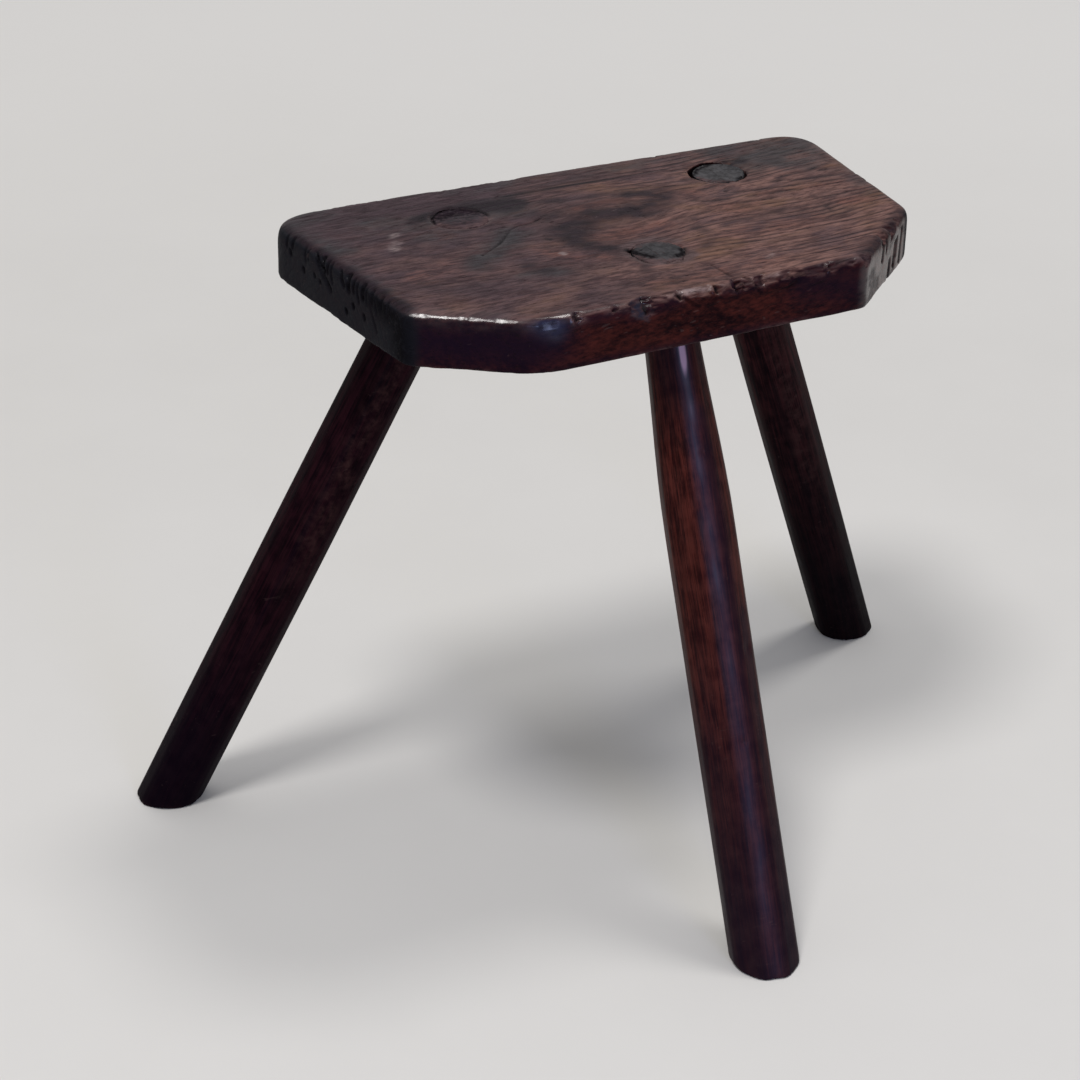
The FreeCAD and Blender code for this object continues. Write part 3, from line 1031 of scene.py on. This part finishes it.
def addStains(base, ragged, streak):
    for name, tint, strength in seatStains:
        painted = layer(base.tree, name)
        frayed = painted + ragged * spread(painted, 0, 0.3)
        grained = mix(spread(streak, 0.38, 0.62), dimmed(tint, 0.6), dimmed(tint, 1.4))
        base = mix(spread(frayed, 0, 1.12, 0, strength), base, grained)
    return base


def makeSeatWood():
    material, tree, shader, coords = newMaterial("seat wood")
    turn = Euler((0, -math.radians(seatLog["climb"]), math.radians(seatLog["sweep"])))
    log = Matrix.Translation(Vector(seatLog["heart"]) * mm) @ turn.to_matrix().to_4x4()
    aside = addNode(tree, "CombineXYZ", {"Y": (layer(tree, "bend") - 0.5) * 0.06})
    bent = vectorSums("ADD", {0: coords, 1: aside})
    figure = useGroup(tree, woodFigure, {
        "Vector": turnTo(bent, log), "Ring Width": seatLog["ringWidth"], "Wander": seatLog["wander"]})
    wear = useWearAndShade(tree, mapped(coords, Scale=(0.5, 1, 1)))
    topside, endGrain = layer(tree, "topside"), layer(tree, "endGrain")
    x, y = [addNode(tree, "SeparateXYZ", {0: coords}, axis) for axis in "XY"]
    # warmer to the right and the front; cooler and more mauve to the left and at the rear, partly the wood's
    # own colour and partly a painted sheen, the pale reflection of the surroundings on the top
    warmth = spread(spread(x, -0.1, 0.08), 0, 1, 0.14, 0.9)
    warmth += spread(wear["Mottle"], 0.3, 0.7, -0.22, 0.22)
    warmth += spread(y, 0.055, 0) * 0.13
    warmth = (warmth - spread(y, 0.085, 0.11) * 0.35).clamped()
    deep = mix(warmth, (0.027, 0.015, 0.019), (0.064, 0.031, 0.029))
    bright = mix(warmth, (0.059, 0.036, 0.043), (0.178, 0.094, 0.08))
    speckle = grainNoise(bent, (0.3, 1, 1), 330, 5, 0.68)
    streak = figure["Fibre"] * 0.55 + speckle * 0.45
    patch = grainNoise(bent, (0.55, 1, 1), 48, 4, 0.6)
    top = cover(mix(spread(streak, 0.4, 0.6), deep, bright), [
        (spread(patch, 0.5, 0.68, 0, 0.55) * warmth, (0.15, 0.078, 0.046)),
        (spread(patch, 0.47, 0.3, 0, 0.5), (0.058, 0.036, 0.046)),
    ])
    flecks = grainNoise(mapped(coords, Rotation=(0, 0.5, 0), Scale=(0.45, 1, 1)), even, 380, 5, 0.75)
    reddish = spread(flecks * 0.6 + wear["Polish"] * 0.4, 0.37, 0.67)
    side = mix(reddish, (0.006, 0.0012, 0.0026), (0.064, 0.013, 0.01))
    base = cover(mix(topside, side, top), [
        (figure["Ring"] * (spread(x, -0.04, 0.07, 0.15, 0.75) * topside), (0.012, 0.006, 0.008)),
        (spread(figure["Bands"], 0.5, 0.66) * 0.25, (0.016, 0.008, 0.01)),
    ])
    ragged = spread(figure["Fibre"], 0.3, 0.7, -0.14, 0.14) + spread(speckle, 0.3, 0.7, -0.16, 0.16)
    ragged += spread(wear["Polish"], 0.3, 0.7, -0.27, 0.27)
    base = cover(addStains(base, ragged, streak), [
        # painted shade on the sides and in the chips, a purple-black
        (layer(tree, "shadeAndDark") * 0.92, (0.0078, 0.003, 0.0098)),
        # painted blue highlight at the front-left corner, standing in for the cool lamp's reflection
        (layer(tree, "paintedBlueGlint") * 0.8, (0.016, 0.018, 0.046)),
        (figure["Pores"] * 0.5, (0.007, 0.004, 0.005)),
        (endGrain * 0.93, (0.008, 0.0088, 0.0122)),
        (wear["Scuff"] * 0.5, (0.2, 0.115, 0.11)),
        (wear["Scratch"] * 0.15, (0.15, 0.1, 0.095)),
        # painted blue-black shade and reflection inside the deepest chip
        (layer(tree, "chipShade") * spread(flecks, 0.36, 0.58, 0.95, 0.35), (0.007, 0.007, 0.02)),
        # grime and painted shade, near black, in the bores, gaps, cuts and hollows
        (wear["GrimeAndShade"] * 0.95, (0.0025, 0.002, 0.003)),
    ])
    rough = spread(wear["Polish"], 0.3, 0.7, 0.3, 0.46) + figure["Pores"] * 0.2
    rough += endGrain * 0.2
    rough += wear["GrimeAndShade"] * 0.2
    waxed = spread(wear["Polish"], 0.3, 0.7, 0.08, 0.2) * spread(topside, 0, 1, 0.1, 1)
    waxed *= spread(figure["Pores"], 0, 1, 1, 0.3)
    waxed *= spread(layer(tree, "hollow"), 0, 0.5, 1, 0)
    waxed += layer(tree, "gloss") * spread(wear["Polish"], 0.35, 0.55, 0.3, 1)
    height = figure["Fibre"] * 0.5 - figure["Pores"] * 0.9 - figure["Ring"] * 0.7
    height = height - wear["Scratch"] * 0.6 + wear["Polish"] * 0.8
    finishWood(shader, base, rough, waxed, height, {"Strength": 0.5, "Distance": 0.0006})
    setInputs(shader, {"Specular IOR Level": 0.025, "Coat Roughness": 0.22})
    return material


legTones = {  # shaft, tenon end, painted shade and darkening, and how much wax
    "rear_left": {
        "dark": (0.003, 0.0006, 0.0022), "light": (0.0165, 0.0032, 0.0062), "end": (0.038, 0.025, 0.029),
        "stretch": (0.3, 1, 1), "shadeAndDark": (0.0028, 0.0008, 0.0038), "rough": (0.46, 0.6), "wax": (0, 0.03),
    },
    "rear_right": {
        "dark": (0.0035, 0.0008, 0.0022), "light": (0.031, 0.0076, 0.0092), "end": (0.037, 0.036, 0.038),
        "stretch": even, "shadeAndDark": (0.0014, 0.0006, 0.0019), "rough": (0.46, 0.6), "wax": (0, 0.03),
    },
    "front": {
        "dark": (0.016, 0.003, 0.0034), "light": (0.072, 0.0155, 0.0118), "end": (0.029, 0.028, 0.03),
        "stretch": even, "shadeAndDark": (0.0085, 0.0044, 0.0105), "rough": (0.3, 0.44), "wax": (0.025, 0.1),
    },
}


def makeLegWood(name, leg):
    material, tree, shader, coords = newMaterial("leg wood " + name.replace("_", " "))
    tone = legTones[name]
    swap = Matrix(((0, 0, 1, 0), (1, 0, 0, 0), (0, 1, 0, 0), (0, 0, 0, 1)))  # the grain runs along the leg
    grain = turnTo(coords, legPlace(leg) @ Matrix.Translation((0.02, 0.035, 0)) @ swap.inverted())
    figure = useGroup(tree, woodFigure, {"Vector": grain, "Ring Width": 0.003, "Wander": 0.004})
    wear = useWearAndShade(tree, coords)
    endGrain, paintedSheen = layer(tree, "endGrain"), layer(tree, "paintedSheen")
    fine = grainNoise(grain, (0.03, 1, 1), 1500, 3, 0.6)
    lightness = figure["Fibre"] * 0.42 + wear["Polish"] * 0.22 + fine * 0.36
    litGolden = layer(tree, "litFacet") * spread(grainNoise(coords, even, 150, 5, 0.65), 0.38, 0.74)
    base = cover(mix(spread(lightness, 0.4, 0.6), tone["dark"], tone["light"]), [
        (figure["Ring"] * 0.3, dimmed(tone["dark"], 0.5)),
        (figure["Pores"] * 0.55, (0.003, 0.001, 0.0015)),
        # painted shade on flats turned from the light and under the seat, and darker towards the foot
        (layer(tree, "shadeAndDark") * 0.85, tone["shadeAndDark"]),
        # painted sheen: a blue stripe down the facing flat of the front leg, pale lilac under the seat,
        # standing in for a reflection
        (paintedSheen * 0.85, mix(spread(paintedSheen, 0.75, 1), (0.022, 0.02, 0.046), (0.38, 0.24, 0.36))),
        # painted light: a lit golden-brown facet on the rear legs
        (litGolden, (0.036, 0.0155, 0.0155)),
        (wear["Scuff"] * 0.3, (0.12, 0.05, 0.042)),
        (wear["Scratch"] * 0.12, (0.1, 0.06, 0.055)),
    ])
    patchy = grainNoise(coords, tone["stretch"], 330, 5, 0.68) * 0.6 + wear["Polish"] * 0.4
    ends = mix(spread(patchy, 0.38, 0.62), tone["end"], dimmed(tone["end"], 2))
    ragged = spread(grainNoise(coords, even, 420, 4, 0.65), 0.3, 0.7, -0.4, 0.4)
    ends = addStains(ends, ragged, grainNoise(coords, (0.3, 1, 1), 330, 5, 0.68))
    # grime and painted shade in hollows
    base = cover(base, [(endGrain, ends), (wear["GrimeAndShade"] * 0.9, (0.003, 0.002, 0.003))])
    rough = spread(wear["Polish"], 0.3, 0.7, *tone["rough"]) + figure["Pores"] * 0.15 + endGrain * 0.25
    waxed = spread(wear["Polish"], 0.3, 0.7, *tone["wax"]) * spread(endGrain, 0, 1, 1, 0.3)
    waxed += spread(paintedSheen, 0.5, 1, 0, 0.45)
    height = figure["Fibre"] * 0.2 - figure["Pores"] * 0.4 - wear["Scratch"] * 0.5 + wear["Polish"] * 0.6
    finishWood(shader, base, rough, waxed, height, {"Strength": 0.35, "Distance": 0.0005})
    setInputs(shader, {"Specular IOR Level": 0.02, "Coat Roughness": 0.32})
    return material


seat.data.materials.append(makeSeatWood())
for name, leg in legShapes.items():
    wood = makeLegWood(name, leg)
    legs[name].data.materials.append(wood)
    wedges[name].data.materials.append(wood)
print("materials:", len(bpy.data.materials))

# The pieces take the places of the CAD nodes
for piece, node, slot in (
        [(seat, "seat", "seat_wood")]
        + [(legs[name], "leg_" + name, "leg_wood") for name in legShapes]
        + [(wedges[name], "wedge_" + name, "wedge_wood") for name in legShapes]):
    makeActive(piece)
    bpy.ops.object.shade_smooth_by_angle(angle=math.radians(50))
    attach(piece, "root")
    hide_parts(node)


# Floor, light and camera

def makeStage():
    bpy.ops.mesh.primitive_plane_add(size=40, location=(0, 0, 0))
    floor = bpy.context.object
    floor.name = "floor"
    material, tree, shader, coords = newMaterial("pale floor")
    cloud = grainNoise(coords, even, 6, 4, 0.6)
    away = vectorSums("LENGTH", {0: coords}, "Value")
    tone = mix(cloud, (0.64, 0.628, 0.61), (0.685, 0.673, 0.655))
    tone = mix(spread(away, 0.5, 2), tone, (0.9, 0.885, 0.865))
    setInputs(shader, {"Base Color": tone, "Roughness": 0.85})
    floor.data.materials.append(material)


lamps = {  # place, aim, size, power, tint
    "main": ((-0.95, -0.55, 2.7), (0, 0, 0.3), 0.6, 33, (1, 0.985, 0.965)),
    "second": ((0.75, 0.1, 2.7), (0, 0, 0.3), 0.6, 19, (1, 0.985, 0.96)),
    "window": ((-0.15, -2.7, 0.9), (0, 0, 0.25), 0.8, 13, (0.5, 0.6, 1)),
}


def addLamp(name, place, aim, size, power, tint):
    bpy.ops.object.light_add(type="AREA", location=place)
    lamp = bpy.context.object
    lamp.name = name
    lamp.data.shape = "DISK"
    lamp.data.size = size
    lamp.data.energy = power
    lamp.data.color = tint
    lamp.rotation_euler = (Vector(aim) - Vector(place)).to_track_quat("-Z", "Y").to_euler()


def makeWorld():
    world = bpy.data.worlds.new("studio")
    bpy.context.scene.world = world
    world.use_nodes = True
    path = addNode(world.node_tree, "LightPath", {}, "Is Camera Ray")
    shown = mix(path, (0.44, 0.44, 0.445), (0.8, 0.79, 0.77))
    setInputs(world.node_tree.nodes["Background"], {"Color": shown, "Strength": 1})


view = {"place": (-0.6732, -1.1496, 0.9116), "down": 28.591, "turn": -27.832, "roll": 1, "lens": 91.67}


def makeCamera():
    bpy.ops.object.camera_add(location=view["place"])
    camera = bpy.context.object
    turn = Euler((math.radians(90 - view["down"]), 0, math.radians(view["turn"]))).to_matrix()
    camera.rotation_euler = (turn @ Matrix.Rotation(math.radians(view["roll"]), 3, "Z")).to_euler()
    camera.data.lens = view["lens"]
    bpy.context.scene.camera = camera


makeStage()
for name, lamp in lamps.items():
    addLamp(name, *lamp)
makeWorld()
makeCamera()
bpy.context.scene.view_settings.view_transform = "Standard"
print("stage, lamps and camera set")
